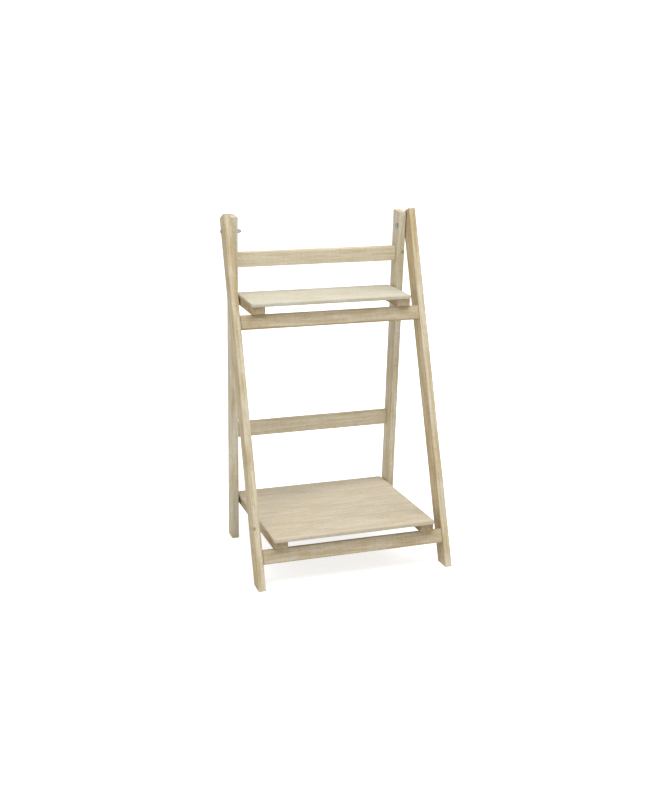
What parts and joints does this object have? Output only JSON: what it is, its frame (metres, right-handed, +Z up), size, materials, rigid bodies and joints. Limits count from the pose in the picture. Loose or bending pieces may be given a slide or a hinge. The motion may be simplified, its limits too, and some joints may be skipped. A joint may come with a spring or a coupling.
{
  "type": "folding plant ladder stand",
  "caption": "Folding wooden ladder stand for potted plants: a raked front frame and a leaning rear frame hinged near the top, with hinged shelves on the front rails.",
  "frame": {"origin": "on the floor, at the middle of the stand's box", "axes": "+X to the right seen from the front, +Y to the back, +Z up"},
  "size_m": [0.4366, 0.3656, 0.7527],
  "materials": {
    "frame_wood": "whitewashed, matt",
    "shelf_wood": "whitewashed, matt",
    "zinc_steel": "zinc plated, satin"
  },
  "bodies": {
    "front_frame": {"front_leg_left": "frame_wood", "front_leg_right": "frame_wood", "front_rail_lower": "frame_wood", "front_rail_upper": "frame_wood", "locating_pin_lower_left": "zinc_steel", "locating_pin_lower_right": "zinc_steel", "locating_pin_upper_left": "zinc_steel", "locating_pin_upper_right": "zinc_steel"},
    "rear_frame": {"back_rail_middle": "frame_wood", "back_rail_top": "frame_wood", "hinge_bolt_left": "zinc_steel", "hinge_bolt_right": "zinc_steel", "hinge_nut_left": "zinc_steel", "hinge_nut_right": "zinc_steel", "hinge_spacer_left": "zinc_steel", "hinge_spacer_right": "zinc_steel", "hinge_washer_left": "zinc_steel", "hinge_washer_right": "zinc_steel", "rear_leg_left": "frame_wood", "rear_leg_right": "frame_wood"},
    "upper_shelf": {"upper_board_1": "shelf_wood", "upper_board_2": "shelf_wood", "upper_board_screw_left_1": "zinc_steel", "upper_board_screw_left_2": "zinc_steel", "upper_board_screw_right_1": "zinc_steel", "upper_board_screw_right_2": "zinc_steel", "upper_cleat_left": "shelf_wood", "upper_cleat_right": "shelf_wood", "upper_pivot_screw_left": "zinc_steel", "upper_pivot_screw_right": "zinc_steel", "upper_pivot_spacer_left": "zinc_steel", "upper_pivot_spacer_right": "zinc_steel"},
    "lower_shelf": {"lower_board_1": "shelf_wood", "lower_board_2": "shelf_wood", "lower_board_3": "shelf_wood", "lower_board_4": "shelf_wood", "lower_board_screw_left_1": "zinc_steel", "lower_board_screw_left_2": "zinc_steel", "lower_board_screw_left_3": "zinc_steel", "lower_board_screw_left_4": "zinc_steel", "lower_board_screw_right_1": "zinc_steel", "lower_board_screw_right_2": "zinc_steel", "lower_board_screw_right_3": "zinc_steel", "lower_board_screw_right_4": "zinc_steel", "lower_cleat_left": "shelf_wood", "lower_cleat_right": "shelf_wood", "lower_pivot_screw_left": "zinc_steel", "lower_pivot_screw_right": "zinc_steel", "lower_pivot_spacer_left": "zinc_steel", "lower_pivot_spacer_right": "zinc_steel"}
  },
  "joints": [
    {"name": "frame_fold", "type": "hinge", "parent": "front_frame", "child": "rear_frame", "pos_m": [0, 0.06649, 0.714], "axis": [-1, 0, 0], "range_deg": [0, 23.7]},
    {"name": "upper_shelf_pivot", "type": "hinge", "parent": "rear_frame", "child": "upper_shelf", "pos_m": [0, 0.09583, 0.56081], "axis": [-1, 0, 0], "range_deg": [0, 68]},
    {"name": "lower_shelf_pivot", "type": "hinge", "parent": "rear_frame", "child": "lower_shelf", "pos_m": [0, 0.15213, 0.0887], "axis": [-1, 0, 0], "range_deg": [0, 79]}
  ]
}
